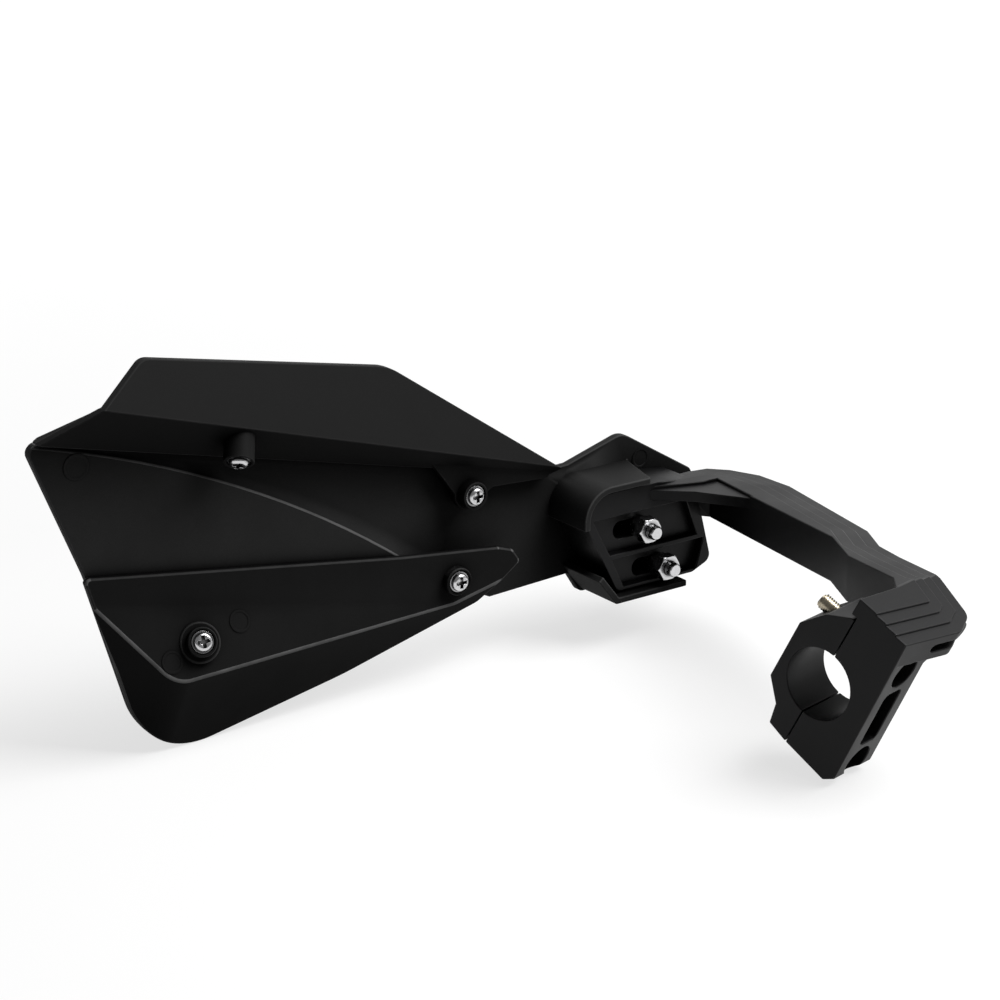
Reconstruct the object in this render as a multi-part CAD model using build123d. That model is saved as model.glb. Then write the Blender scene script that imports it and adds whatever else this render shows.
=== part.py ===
from build123d import *
import os
from math import atan, atan2, cos, degrees, hypot, radians, sin, tan

# Motorcycle hand guard for the left end of a handlebar, in millimetres.
# X runs along the bar towards the middle of the machine, Y forward, Z up.
# The origin is the middle of the clamp's bore, on the bar's axis.

# Handlebar clamp, in a frame tilted about the bar
BAR_DIAMETER = 22.2
CLAMP_WIDTH = 19.0
CLAMP_TILT = 27.0
SPLIT_GAP = 0.3
BLOCK_DEPTH = 19.0
BLOCK_TOP_DEPTH = 17.1
BLOCK_BOTTOM = 25.0
BLOCK_CHAMFER = 3.0
BLOCK_TOP = 32.5
CAP_DEPTH = 14.4
CAP_FLAT_BOTTOM = 9.5
CAP_FLAT_TOP = 12.0
CAP_EAR_DEPTH = 8.5
CAP_EAR_BOTTOM = 16.0
CAP_EAR_TOP = 20.5
CAP_BOTTOM = 24.0
CAP_TOP = 25.5
CAP_ROOM = 1.0
CLAMP_BOLT_SPREAD = 35.0
CLAMP_BOLT_DROP = 0.8
CLAMP_BOLT_SIZE = 5.0
CLAMP_BOLT_HEAD_D = 8.5
CLAMP_BOLT_HEAD_H = 5.0
CLAMP_BOLT_SOCKET = 4.0
COUNTERBORE_D = 10.6
CLAMP_BOLT_SEAT = 7.5
UPPER_CLAMP_BOLT_LENGTH = 23.0
LOWER_CLAMP_BOLT_LENGTH = 15.5
CORE_POCKET_WIDTH = 8.5
CORE_POCKET_LENGTH = 20.0
CORE_POCKET_CORNER = 2.0
CORE_POCKET_FLOOR = 13.5

# Arm from the clamp to the guard: a leg tilted like the clamp, then a span
ARM_X = -2.0
LEG_HEIGHT = 10.8
KNEE_OUTER = 30.0
KNEE_INNER = 9.0
KNEE_OVERLAP = 4.0
LEG_OUTER = [(-7.5, -17.1), (16, -21), (24.8, -17.3), (KNEE_OUTER, -2.3), (KNEE_OUTER, KNEE_OVERLAP)]
LEG_CORNERS = [0, 5, 5, 0, 0]
LEG_END = (-7.5, 1.9)
LEG_SLOT_START = 6.0
LEG_SLOT_LENGTH = 16.5
LEG_SLOT_HEIGHT = 3.0
LEG_SLOT_LEVEL = 26.2
LEG_LUG_RIM = 2.4
LEG_LUG_REAR = 18.5
LEG_SLOT_DEPTH = 9.0
GUSSET_DROP = 7.0
GUSSET_RUN = 10.0
GUSSET_DEPTH = 9.0
ARM_TOP_REAR = 29.1
ARM_TOP_FRONT = 20.5
ARM_FRONT = 125.0
ARM_HEIGHT = 14.7
SPAN_OUTER = [
    (37.9, 3.4), (43.7, 14.5), (54.4, 26.1), (81.7, 75.5),
    (86.9, 91.6), (86.8, 104.1), (84, 111.8), (77.6, 114.9)]
SPAN_END = [(61, 118.5), (70.9, 108.2)]
SPAN_INNER = [(72.5, 101.5), (59.6, 73.5), (38.8, 28.8), (25.8, 13.9), (15.9, -8.7)]
TERRACE_COUNT = 3
TERRACE_WIDTH = 4.0
TERRACE_DROP = 0.6
TERRACE_LEAD = 15.0

# Guard frame: its X runs along the guard, its Y points forward out of the back wall
GUARD_X = 62.0
GUARD_Y = 124.0
GUARD_SWEEP = 12.0
WALL = 3.0
FIT = 0.2
PANEL_REACH = 225.0
PANEL_RISE = 8.0
PANEL_RUN = 135.0
MESA_RADIUS = 340.0
MESA_EDGE_X = 121.3
MESA_EDGE_Z = 14.5
MESA_EDGE_ANGLE = 53.75
RAMP_SLOPE = 1.35
RAMP_DEPTH = 14.0

# Sleeve round the end of the arm
SLEEVE_DEPTH = 20.0
SLEEVE_WALL = 2.2
SLEEVE_LEFT = -39.5
SLEEVE_TOP = 26.0
SLEEVE_CORNER = 11.0
HOOD_END = -6.5
HOOD_SLANT = 6.0
HOOD_DROP = 12.5
LIP_BOTTOM = -15.5
LIP_END = 4.0
LIP_CORNER_X = -26.0
LIP_TIP_X = -33.5
LIP_TIP_Z = -6.0

# End plate of the arm, with its two adjusting tracks
PLATE_DEPTH = 17.0
PLATE_GAP = 1.0
PLATE_RIGHT_TOP = 9.0
PLATE_RIGHT_BOTTOM = 17.0
PLATE_BOTTOM = -12.5
PLATE_CORNER = 3.0
PLATE_CUT_X = 8.0
PLATE_CUT_Z = 3.3
TRACK_DEPTH = 3.0
TRACK_RIM = 2.6
TRACK_TOP = 14.0
RIDGE_HALF = 0.9
SLOT_WIDTH = 6.0
SLOT_LENGTH = 15.0
SLOT_LEAD = 10.5
WEB_TOP = 20.5
WEB_THICKNESS = 3.6
WEB_DROP = 1.0
WEB_EDGE = [(-10.5, -16.5), (-1, -28.5), (7.2, -47.5), (12.6, -24.2), (6.9, -23.8)]
RIB_EDGE = [(-10.5, -16.5), (6.9, -23.8), (12.6, -24.2), (20, -17), (20, -8.5), (15, -6.8), (0, -6.8)]

# Bracket bolts, upper one then lower one, in the guard frame
BRACKET_BOLT_X = [-12.7, -4.4]
BRACKET_BOLT_Z = [7.8, -7.0]
BRACKET_BOLT_SIZE = 5.0
BRACKET_HEAD_D = 9.5
BRACKET_HEAD_H = 2.8
BRACKET_SOCKET = 3.0
NUT_ACROSS_FLATS = 8.0
NUT_HEIGHT = 4.0
NUT_CHAMFER = 0.5
COLLAR_D = 7.4
COLLAR_HEIGHT = 3.0
WASHER_D = 10.0
WASHER_THICKNESS = 1.0
BOLT_END = 3.0

# Upper deflector, in the guard frame
SHEET = 2.5
DEFLECTOR_INSET = 3.0
DEFLECTOR_EDGE_Z = 71.4
DEFLECTOR_SLOPE = 13.4
DEFLECTOR_OVERHANG = 45.0
CREASE_START = 9.0
CREASE_RISE_START = 16.5
CREASE_END = 180.0
CREASE_RISE_END = 5.7
VISOR_LEAN = 32.0
VISOR_LEFT = [(12.5, 83.2, 0), (31.2, 93, 7)]
VISOR_RIGHT = [(-99.5, 30.8, 20), (-39, 3, 0)]
FLANGE_REACH = 14.0
FLANGE_LENGTH = 165.0
FLANGE_TRIM = 6.5
TAB_GAP = 3.0
TAB_START = -90.0
TAB_END = -42.0
TAB_OVERLAP = 2.2
TAB_EDGE = [(-44, -0.8), (-66, -4.8), (-75.5, -12), (-80, -9)]
TAB_RADIUS = 5.4

# Lower wing, in the panel frame
STRIP_TOP_START = 29.0
STRIP_TOP_END = 11.3
STRIP_SAG = 0.9
STRIP_SAG_X = 121.0
STRIP_SAG_RADIUS = 80.0
SHELL_TUCK = 1.45
WING_NECK_X = 157.0
WING_TIP_X = 165.5
WING_TIP_Z = 5.0
WING_LIP_X = 150.0
FOLD_START_X = 20.8
FOLD_START_Z = 18.4
FOLD_END_X = 132.0
FOLD_END_Z = -2.9
PANEL_LEAN = 23.3
WING_EDGE_X = 51.6
WING_EDGE_Z = -30.7
WING_EDGE_RISE = 13.75
WING_EDGE_Y = -1.0
BOTTOM_FLANGE_LEAN = 21.8
LEFT_EDGE_X = 21.15
LEFT_EDGE_Z = 4.7
LEFT_EDGE_ANGLE = 16.3
LEFT_FLANGE_LEAN = 38.0
LEFT_FLANGE_TURN = 18.7
LEFT_FLANGE_Z = 20.5
WING_CORNER = 24.0
RIDGE_CORNER = 14.0
WING_BELLY = 2.4

# Screws: pan heads with a rim, in raised bosses
SCREW_SIZE = 3.5
SCREW_RIM_D = 6.9
SCREW_RIM_H = 0.8
SCREW_HEAD_D = 5.8
SCREW_HEAD_H = 2.4
SCREW_CROSS = 1.1
SCREW_CROSS_SPAN = 3.8
SCREW_CROSS_DEPTH = 1.5
SCREW_GRIP = 4.0
HOLE_PLAY = 0.4
THREAD_PLAY = 0.1
HEAD_SINK = 1.2
BOSS_D = 9.2
BOSS_FOOT_D = 12.8
BOSS_FOOT_H = 2.0
PILOT_D = 7.0
PILOT_DEPTH = 12.0
SCREW_A_ALONG = 60.0
SCREW_A_RISE = 9.0
SCREW_A_AXIS = (-0.38, -0.56, -0.735)
BOSS_A_HEIGHT = 7.5
SCREW_B_X = -75.5
SCREW_B_Z = 29.2
BOSS_B_HEIGHT = 4.0
SCREW_C_X = 140.5
SCREW_C_Z = 3.6
BOSS_C_HEIGHT = 3.0
SCREW_D_X = 47.95
SCREW_D_Z = 3.3
SCREW_D_AXIS = (-0.15, -0.90, 0.40)
BOSS_D_HEIGHT = 5.0

# Worked out from the sizes above
BIG = 700.0
PANEL_TILT = degrees(atan(PANEL_RISE / PANEL_RUN))
DEFLECTOR_EDGE_X = DEFLECTOR_INSET - PANEL_REACH
MESA_X = MESA_EDGE_X - MESA_RADIUS * cos(radians(MESA_EDGE_ANGLE))
MESA_Z = MESA_EDGE_Z - MESA_RADIUS * sin(radians(MESA_EDGE_ANGLE))
KNEE_Y = (ARM_TOP_REAR * cos(radians(CLAMP_TILT)) - BLOCK_TOP) / sin(radians(CLAMP_TILT))
KNEE_LEG_Y = (ARM_TOP_REAR - BLOCK_TOP * cos(radians(CLAMP_TILT))) / sin(radians(CLAMP_TILT))
ARM = Location((ARM_X, 0, 0))
GUARD = Location((GUARD_X, GUARD_Y, 0), (0, 0, -GUARD_SWEEP))
PANEL_IN_GUARD = Location((-PANEL_REACH, 0, 0), (0, 0, -PANEL_TILT))
PANEL = GUARD * PANEL_IN_GUARD
CLAMP = Location((0, 0, 0), (CLAMP_TILT, 0, 0))
FACING_FORWARD = Rot(-90, 0, 0)
FACING_RIDER = Rot(90, 0, 0)
RIDER = Vector(0, -1, 0)


def rounded(points):
    """Closed outline from (x, y, corner radius) points."""
    outline = Polygon(*[(p[0], p[1]) for p in points], align=None)
    for x, y, radius in points:
        if radius:
            corner = outline.vertices().sort_by_distance((x, y, 0))[0]
            outline = fillet(corner, radius)
    return outline


def slab(outline, near, far):
    """Outline drawn in X and Z, made solid from Y near to Y far."""
    return extrude(Plane.XZ.offset(-far) * outline, far - near, dir=(0, -1, 0))


def level(outline, bottom, top):
    """Outline drawn in X and Y, made solid from Z bottom to Z top."""
    return extrude(Pos(0, 0, bottom) * outline, top - bottom, dir=(0, 0, 1))


def across(outline, start, end):
    """Outline drawn in Y and Z, made solid from X start to X end."""
    return extrude(Plane.YZ.offset(start) * outline, end - start, dir=(1, 0, 0))


def behind(point, normal, inset):
    """Everything on the far side of a plane, set back by inset."""
    face = Plane(origin=Vector(*point) - normal * inset, z_dir=normal)
    return face * Box(BIG, BIG, BIG, align=(Align.CENTER, Align.CENTER, Align.MAX))


def rod(diameter, start, end):
    """Round bar along Z."""
    return Pos(0, 0, start) * Cylinder(diameter / 2, end - start, align=(Align.CENTER, Align.CENTER, Align.MIN))


def inset_path(points, distance):
    """Open path moved to its left by a distance, with mitred corners."""
    moved = []
    last = len(points) - 1
    for i, (x, y) in enumerate(points):
        before = points[i - 1] if i > 0 else (2 * x - points[1][0], 2 * y - points[1][1])
        after = points[i + 1] if i < last else (2 * x - points[i - 1][0], 2 * y - points[i - 1][1])
        a = atan2(y - before[1], x - before[0])
        b = atan2(after[1] - y, after[0] - x)
        reach = distance / cos((a - b) / 2)
        moved.append((x - reach * sin((a + b) / 2), y + reach * cos((a + b) / 2)))
    return moved


# Planes of the deflector


def line_z(x):
    """Height of the deflector's lower edge in the guard frame."""
    return DEFLECTOR_EDGE_Z - (x - DEFLECTOR_EDGE_X) * tan(radians(DEFLECTOR_SLOPE))


VISOR_EDGE = [(x + DEFLECTOR_EDGE_X, z, radius) for x, z, radius in VISOR_LEFT]
VISOR_EDGE = VISOR_EDGE + [(x, line_z(x) + rise, radius) for x, rise, radius in VISOR_RIGHT]
OVERHANG = radians(DEFLECTOR_OVERHANG)
EDGE_ALONG = Vector(cos(radians(DEFLECTOR_SLOPE)), 0, -sin(radians(DEFLECTOR_SLOPE)))
EDGE_UP = Vector(sin(radians(DEFLECTOR_SLOPE)), 0, cos(radians(DEFLECTOR_SLOPE)))
EDGE_ORIGIN = Vector(DEFLECTOR_EDGE_X, 0, DEFLECTOR_EDGE_Z)
OVERHANG_FACE = RIDER * cos(OVERHANG) - EDGE_UP * sin(OVERHANG)
OVERHANG_UP = EDGE_UP * cos(OVERHANG) + RIDER * sin(OVERHANG)
LOWER_FACE_POINT = EDGE_ORIGIN + OVERHANG_FACE * (SHEET + FIT)


def lower_face_point(along, rise):
    """Point on the deflector's lower face, from distances along its edge and up."""
    return LOWER_FACE_POINT + EDGE_ALONG * along + OVERHANG_UP * (rise / cos(OVERHANG))


CREASE_A = lower_face_point(CREASE_START, CREASE_RISE_START)
CREASE_B = lower_face_point(CREASE_END, CREASE_RISE_END)
VISOR_UP = Vector(0, sin(radians(VISOR_LEAN)), cos(radians(VISOR_LEAN)))
VISOR_FACE = (CREASE_B - CREASE_A).cross(VISOR_UP).normalized()


def visor_body(inset):
    """Everything in front of the deflector's two faces, set back by inset."""
    return behind(LOWER_FACE_POINT, OVERHANG_FACE, inset) & behind(CREASE_A, VISOR_FACE, inset)


# Planes of the wing

STRIP_Y = -FIT - SHEET
FOLD_ANGLE = atan2(FOLD_START_Z - FOLD_END_Z, FOLD_END_X - FOLD_START_X)
FOLD_DOWN = Vector(-sin(FOLD_ANGLE), 0, -cos(FOLD_ANGLE))
FOLD_POINT = Vector(FOLD_START_X, STRIP_Y, FOLD_START_Z)
WING_FACE = RIDER * cos(radians(PANEL_LEAN)) - FOLD_DOWN * sin(radians(PANEL_LEAN))
BOTTOM_DOWN = Vector(sin(radians(WING_EDGE_RISE)), 0, -cos(radians(WING_EDGE_RISE)))
BOTTOM_FACE = RIDER * cos(radians(BOTTOM_FLANGE_LEAN)) + BOTTOM_DOWN * sin(radians(BOTTOM_FLANGE_LEAN))
LEFT_OUT = Vector(-cos(radians(LEFT_FLANGE_TURN)), 0, -sin(radians(LEFT_FLANGE_TURN)))
LEFT_FACE = RIDER * cos(radians(LEFT_FLANGE_LEAN)) + LEFT_OUT * sin(radians(LEFT_FLANGE_LEAN))


def wing_y(x, z):
    """Depth of the wing's main panel in the panel frame."""
    drop = (Vector(x, STRIP_Y, z) - FOLD_POINT).dot(FOLD_DOWN)
    return STRIP_Y - drop * tan(radians(PANEL_LEAN))


def left_edge_x(z):
    return LEFT_EDGE_X - (z - LEFT_EDGE_Z) * tan(radians(LEFT_EDGE_ANGLE))


def bottom_edge_z(x):
    return WING_EDGE_Z + (x - WING_EDGE_X) * tan(radians(WING_EDGE_RISE))


def wing_body(inset):
    """Everything in front of the wing's faces, set back by inset."""
    faces = behind(FOLD_POINT, RIDER, inset) + behind(FOLD_POINT, WING_FACE, inset)
    bottom = behind((WING_EDGE_X, WING_EDGE_Y, WING_EDGE_Z), BOTTOM_FACE, inset)
    left = behind((left_edge_x(LEFT_FLANGE_Z), STRIP_Y, LEFT_FLANGE_Z), LEFT_FACE, inset)
    edges = bottom & left
    corner = edges.edges().sort_by_distance((38, -11.6, -6))[0]
    return faces & fillet(corner, RIDGE_CORNER - inset)


# Screws: place, with Z out of the sheet's visible face, and height of the boss

SEATS = {
    "a": GUARD * Plane(origin=lower_face_point(SCREW_A_ALONG, SCREW_A_RISE), z_dir=SCREW_A_AXIS).location,
    "b": GUARD * Plane(origin=(SCREW_B_X, -TAB_GAP - SHEET, SCREW_B_Z), z_dir=RIDER).location,
    "c": PANEL * Plane(origin=(SCREW_C_X, STRIP_Y, SCREW_C_Z), z_dir=RIDER).location,
    "d": PANEL * Plane(origin=(SCREW_D_X, wing_y(SCREW_D_X, SCREW_D_Z), SCREW_D_Z), z_dir=SCREW_D_AXIS).location,
}
BOSS_HEIGHTS = {"a": BOSS_A_HEIGHT, "b": BOSS_B_HEIGHT, "c": BOSS_C_HEIGHT, "d": BOSS_D_HEIGHT}
SHEET_BACK = -SHEET - FIT
SCREW_TIP = SHEET_BACK - SCREW_GRIP


def with_bosses(sheet, keys, core):
    """Sheet with a raised, bored ring for each of its screws, none deeper than the sheet's core."""
    for key in keys:
        height = BOSS_HEIGHTS[key]
        sheet = sheet + (SEATS[key] * rod(BOSS_D, -SHEET, height) - core)
    for key in keys:
        height = BOSS_HEIGHTS[key]
        sheet = sheet - SEATS[key] * rod(SCREW_SIZE + HOLE_PLAY, -2 * SHEET, height)
        sheet = sheet - SEATS[key] * rod(SCREW_RIM_D + HOLE_PLAY, height - HEAD_SINK, height + SHEET)
    return sheet


def screw(key):
    """Pan-head screw with a rim under its head and a cross recess."""
    seat = BOSS_HEIGHTS[key] - HEAD_SINK
    top = seat + SCREW_HEAD_H
    head = rod(SCREW_HEAD_D, seat, top)
    head = fillet(head.edges().sort_by(Axis.Z)[-1], SCREW_HEAD_H / 2)
    body = rod(SCREW_SIZE, SCREW_TIP, seat) + rod(SCREW_RIM_D, seat, seat + SCREW_RIM_H) + head
    for turn in (0, 90):
        bar = Box(SCREW_CROSS_SPAN, SCREW_CROSS, 2 * SCREW_CROSS_DEPTH)
        body = body - Pos(0, 0, top) * Rot(0, 0, turn) * bar
    return SEATS[key] * body


# Main shell


def guard_void():
    """The rider's side of the shell's inner face: back wall, ramp and raised panel."""
    rider_side = Box(BIG, BIG, BIG, align=(Align.CENTER, Align.MAX, Align.CENTER))
    foot = MESA_RADIUS + RAMP_DEPTH / RAMP_SLOPE
    mesa = Cone(MESA_RADIUS, foot, RAMP_DEPTH, align=(Align.CENTER, Align.CENTER, Align.MIN))
    return rider_side - PANEL_IN_GUARD * Pos(MESA_X, 0, MESA_Z) * FACING_FORWARD * mesa


def shell_outline():
    left = [(-PANEL_REACH - FIT, DEFLECTOR_EDGE_Z - 1.9, 3)]
    for z, tucks, radius in ((STRIP_TOP_START, 1, 0), (LEFT_FLANGE_Z, 1.2, 0), (0, 2.6, 0), (-12, 2.6, 6)):
        left.append((left_edge_x(z) + tucks * SHELL_TUCK - PANEL_REACH, z, radius))
    below = ((45, 6), (128, 0), (146, 0))
    neck = [(x - PANEL_REACH, bottom_edge_z(x) + 2.1 * SHEET, radius) for x, radius in below]
    neck = neck + [(-63.2, -10.55, 2), (-31, -9.3, 2)]
    bracket = [(-26, LIP_BOTTOM - 1.5, 3), (6, LIP_BOTTOM - 1.5, 4), (22, -10, 6), (24, 12, 4), (21.3, 17.8, 3)]
    top = [(-8.6, 35.6, 7), (-31.5, 29, 0)]
    edge = [(-43, line_z(-43) - FIT, 0), (DEFLECTOR_EDGE_X, DEFLECTOR_EDGE_Z - FIT, 0)]
    return rounded(left + neck + bracket + top + edge)


def top_flange():
    """Flange along the shell's top that the deflector's lower face lies against."""
    tip_x = -FLANGE_REACH * tan(OVERHANG)
    tip = (tip_x + WALL * cos(OVERHANG), FLANGE_REACH + WALL * sin(OVERHANG))
    bend = (WALL, WALL * tan(OVERHANG / 2))
    section = Polygon((0, -WALL), (0, 0), (tip_x, FLANGE_REACH), tip, bend, (WALL, -WALL), align=None)
    start = Plane(origin=EDGE_ORIGIN, x_dir=(0, 1, 0), z_dir=EDGE_ALONG)
    flange = extrude(start * section, FLANGE_LENGTH, dir=EDGE_ALONG) & visor_body(SHEET + FIT)
    x, z, _ = VISOR_EDGE[0]
    left = DEFLECTOR_EDGE_X + FIT
    x = x + FLANGE_TRIM
    edge = Polygon((left, 0), (left, DEFLECTOR_EDGE_Z), (x, z), (x, 2 * z), (0, 2 * z), (0, 0), align=None)
    return flange & slab(edge, -BIG / 4, BIG / 4)


def hood():
    """Top and end wall of the sleeve, round the arm's end plate."""
    left = SLEEVE_LEFT + SLEEVE_WALL
    top = SLEEVE_TOP - SLEEVE_WALL
    outside = [(SLEEVE_LEFT, HOOD_DROP, 0), (SLEEVE_LEFT, SLEEVE_TOP, SLEEVE_CORNER), (HOOD_END, SLEEVE_TOP, 0)]
    inside = [(HOOD_END, top, 0), (left, top, SLEEVE_CORNER - SLEEVE_WALL), (left, HOOD_DROP, 0)]
    slant = Polygon((HOOD_END, 0), (HOOD_END, -BIG), (HOOD_END - HOOD_SLANT, -SLEEVE_DEPTH), align=None)
    return slab(rounded(outside + inside), -SLEEVE_DEPTH, WALL / 2) - level(slant, 0, SLEEVE_TOP + 1)


def lower_lip():
    """Bottom wall of the sleeve, with its short turned-up end."""
    path = [(LIP_TIP_X, LIP_TIP_Z), (LIP_CORNER_X, LIP_BOTTOM), (LIP_END, LIP_BOTTOM)]
    inside = inset_path(path, SLEEVE_WALL)
    return slab(Polygon(*path, *inside[::-1], align=None), -SLEEVE_DEPTH, WALL / 2)


def main_shell():
    void = guard_void()
    outer = Pos(0, WALL, 0) * void
    wall = (outer - void) & slab(shell_outline(), -BIG / 4, BIG / 4)
    shell = GUARD * (wall + top_flange() + hood() + lower_lip())
    behind_wing = outer & (PANEL_IN_GUARD * wing_body(SHEET + FIT))
    limits = {"a": visor_body(SHEET + FIT), "b": outer, "c": outer, "d": behind_wing}
    for key, limit in limits.items():
        depth = SCREW_TIP - 2 * FIT if key == "a" else SHEET_BACK - PILOT_DEPTH
        top = SHEET_BACK + SHEET if key in "ad" else SHEET_BACK
        pilot = SEATS[key] * rod(PILOT_D, depth, top)
        shell = shell + (pilot & (GUARD * limit))
    for key in SEATS:
        shell = shell - SEATS[key] * rod(SCREW_SIZE + THREAD_PLAY, SCREW_TIP - FIT, SHEET_BACK + 1)
    for i in range(2):
        shell = shell - bracket_seat(i) * rod(BRACKET_BOLT_SIZE + HOLE_PLAY, -2 * WALL, WALL)
    return shell


# Upper deflector


def upper_deflector():
    start = [(DEFLECTOR_EDGE_X - 1, line_z(DEFLECTOR_EDGE_X - 1), 0)]
    outline = rounded(start + VISOR_EDGE + [(TAB_END, line_z(TAB_END), 0)])
    visor = (visor_body(0) - visor_body(SHEET)) & slab(outline, -BIG / 4, BIG / 4)
    top = [(TAB_START, line_z(TAB_START) + TAB_OVERLAP), (TAB_END, line_z(TAB_END) + TAB_OVERLAP)]
    edge = [(x, line_z(x) + drop) for x, drop in TAB_EDGE]
    tab = Polygon(*top, *edge, align=None) + Pos(SCREW_B_X, SCREW_B_Z) * Circle(TAB_RADIUS)
    deflector = GUARD * (visor + slab(tab, -TAB_GAP - SHEET, -TAB_GAP))
    return with_bosses(deflector, "ab", GUARD * visor_body(SHEET / 2))


# Lower wing


def wing_outline():
    # The outer corner is where the left edge's line meets the bottom edge's line.
    left_run = tan(radians(LEFT_EDGE_ANGLE))
    bottom_run = tan(radians(WING_EDGE_RISE))
    down = (LEFT_EDGE_Z - bottom_edge_z(LEFT_EDGE_X)) / (1 + left_run * bottom_run)
    corner = (LEFT_EDGE_X + down * left_run, LEFT_EDGE_Z - down, WING_CORNER)
    left = [(left_edge_x(STRIP_TOP_START), STRIP_TOP_START, 1.5), corner]
    middle = (WING_EDGE_X + WING_LIP_X) / 2
    tip = [(middle, bottom_edge_z(middle) - WING_BELLY, 100), (WING_LIP_X, bottom_edge_z(WING_LIP_X), 6)]
    tip = tip + [(WING_TIP_X, WING_TIP_Z, 1.5)]
    neck = [(WING_TIP_X - 3, WING_TIP_Z + 4.5, 2), (WING_NECK_X, STRIP_TOP_END, 3)]
    start = left_edge_x(STRIP_TOP_START)
    part_way = (STRIP_SAG_X - start) / (WING_NECK_X - start)
    sag = STRIP_TOP_START + (STRIP_TOP_END - STRIP_TOP_START) * part_way - STRIP_SAG
    return rounded(left + tip + neck + [(STRIP_SAG_X, sag, STRIP_SAG_RADIUS)])


def lower_wing():
    sheet = (wing_body(0) - wing_body(SHEET)) & slab(wing_outline(), -BIG / 4, BIG / 4)
    core = PANEL * wing_body(SHEET / 2)
    foot = SEATS["d"] * rod(BOSS_FOOT_D, -SHEET, BOSS_FOOT_H) - core
    return with_bosses(PANEL * sheet + foot, "cd", core)


# Arm and clamp


def span_profile(top_drop, bottom_drop):
    """Side view of the span between two depths below its top line."""
    slope = (ARM_TOP_FRONT - ARM_TOP_REAR) / (ARM_FRONT - KNEE_Y)
    back = KNEE_Y - BLOCK_TOP
    back_z = ARM_TOP_REAR + (back - KNEE_Y) * slope
    outline = Polygon(
        (back, back_z - top_drop), (ARM_FRONT, ARM_TOP_FRONT - top_drop),
        (ARM_FRONT, ARM_TOP_FRONT - bottom_drop), (back, back_z - bottom_drop), align=None)
    return across(outline, -BIG / 2, BIG / 2)


def on_past(start, end):
    """Point straight on past the end of a line, so that a terrace runs out of its body."""
    run = hypot(end[0] - start[0], end[1] - start[1])
    return tuple(e + (e - s) * TERRACE_LEAD / run for s, e in zip(start, end))


def terrace(path, step):
    """Strip along an outer path, wide enough for a step counted from the outside."""
    outside = inset_path(path, -TERRACE_WIDTH)
    inside = inset_path(path, step * TERRACE_WIDTH)
    return Polygon(*outside, *inside[::-1], align=None)


TERRACES = [(step, (TERRACE_COUNT + 1 - step) * TERRACE_DROP) for step in range(1, TERRACE_COUNT + 1)]


def arm_leg():
    """First part of the arm, tilted like the clamp."""
    outer = [(x, y, radius) for (x, y), radius in zip(LEG_OUTER, LEG_CORNERS)]
    inner = [(KNEE_INNER, KNEE_OVERLAP, 0), (KNEE_INNER, KNEE_LEG_Y, 0), (*LEG_END, 0)]
    low = BLOCK_TOP - LEG_HEIGHT
    leg = level(rounded(outer + inner), low, BLOCK_TOP)
    past_knee = Pos(KNEE_INNER, KNEE_Y, 0) * Box(BIG, BIG, BIG, align=(Align.MIN, Align.MIN, Align.CENTER))
    leg = leg - Rot(-CLAMP_TILT, 0, 0) * past_knee
    side = CLAMP_WIDTH / 2 - ARM_X
    gusset = Polygon((side - 1, low - GUSSET_DROP), (side, low - GUSSET_DROP), (side + GUSSET_RUN, low + 1),
                     (side - 1, low + 1), align=None)
    leg = leg + slab(gusset, -BLOCK_TOP_DEPTH, -GUSSET_DEPTH)
    place = Pos(LEG_SLOT_START + LEG_SLOT_LENGTH / 2, LEG_SLOT_LEVEL)
    lug = place * SlotOverall(LEG_SLOT_LENGTH + 2 * LEG_LUG_RIM, LEG_SLOT_HEIGHT + 2 * LEG_LUG_RIM)
    window = place * SlotOverall(LEG_SLOT_LENGTH, LEG_SLOT_HEIGHT)
    floor = LEG_LUG_REAR - LEG_SLOT_DEPTH
    return leg + slab(lug, -LEG_LUG_REAR, -floor + 1) - slab(window, -2 * BLOCK_DEPTH, -floor)


def leg_terraces():
    """What the terraces take off the leg's top."""
    path = [on_past(LEG_OUTER[1], LEG_OUTER[0])] + LEG_OUTER[1:-1] + [on_past(LEG_OUTER[-2], LEG_OUTER[-1])]
    strips = [(terrace(path, step), drop * cos(radians(CLAMP_TILT))) for step, drop in TERRACES]
    return [level(strip, BLOCK_TOP - drop, BLOCK_TOP + 1) for strip, drop in strips]


def arm_span():
    """Long part of the arm, over the bar to the end plate."""
    knee = [(KNEE_INNER, KNEE_Y), (KNEE_OUTER, KNEE_Y)]
    plan = Polygon(*knee, *SPAN_OUTER, *SPAN_END, *SPAN_INNER, align=None)
    return level(plan, -BIG / 2, BIG / 2) & span_profile(0, ARM_HEIGHT)


def span_terraces():
    """What the terraces take off the span's top."""
    path = [(KNEE_OUTER, KNEE_Y - TERRACE_LEAD), (KNEE_OUTER, KNEE_Y)] + SPAN_OUTER
    path = path + [on_past(SPAN_OUTER[-2], SPAN_OUTER[-1])]
    strips = [(level(terrace(path, step), -BIG / 2, BIG / 2), drop) for step, drop in TERRACES]
    return [strip & span_profile(-BLOCK_TOP, drop) for strip, drop in strips]


def clamp_block():
    """Half of the clamp that is moulded on the arm, in the clamp's frame."""
    split = -SPLIT_GAP / 2
    low = -BLOCK_BOTTOM
    high = BLOCK_TOP - TERRACE_COUNT * TERRACE_DROP * cos(radians(CLAMP_TILT))
    profile = Polygon(
        (split, low + 1), (-BLOCK_DEPTH + BLOCK_CHAMFER, low), (-BLOCK_DEPTH, low + BLOCK_CHAMFER),
        (-BLOCK_TOP_DEPTH, high), (split, high), align=None)
    return across(profile, -CLAMP_WIDTH / 2, CLAMP_WIDTH / 2)


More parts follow.
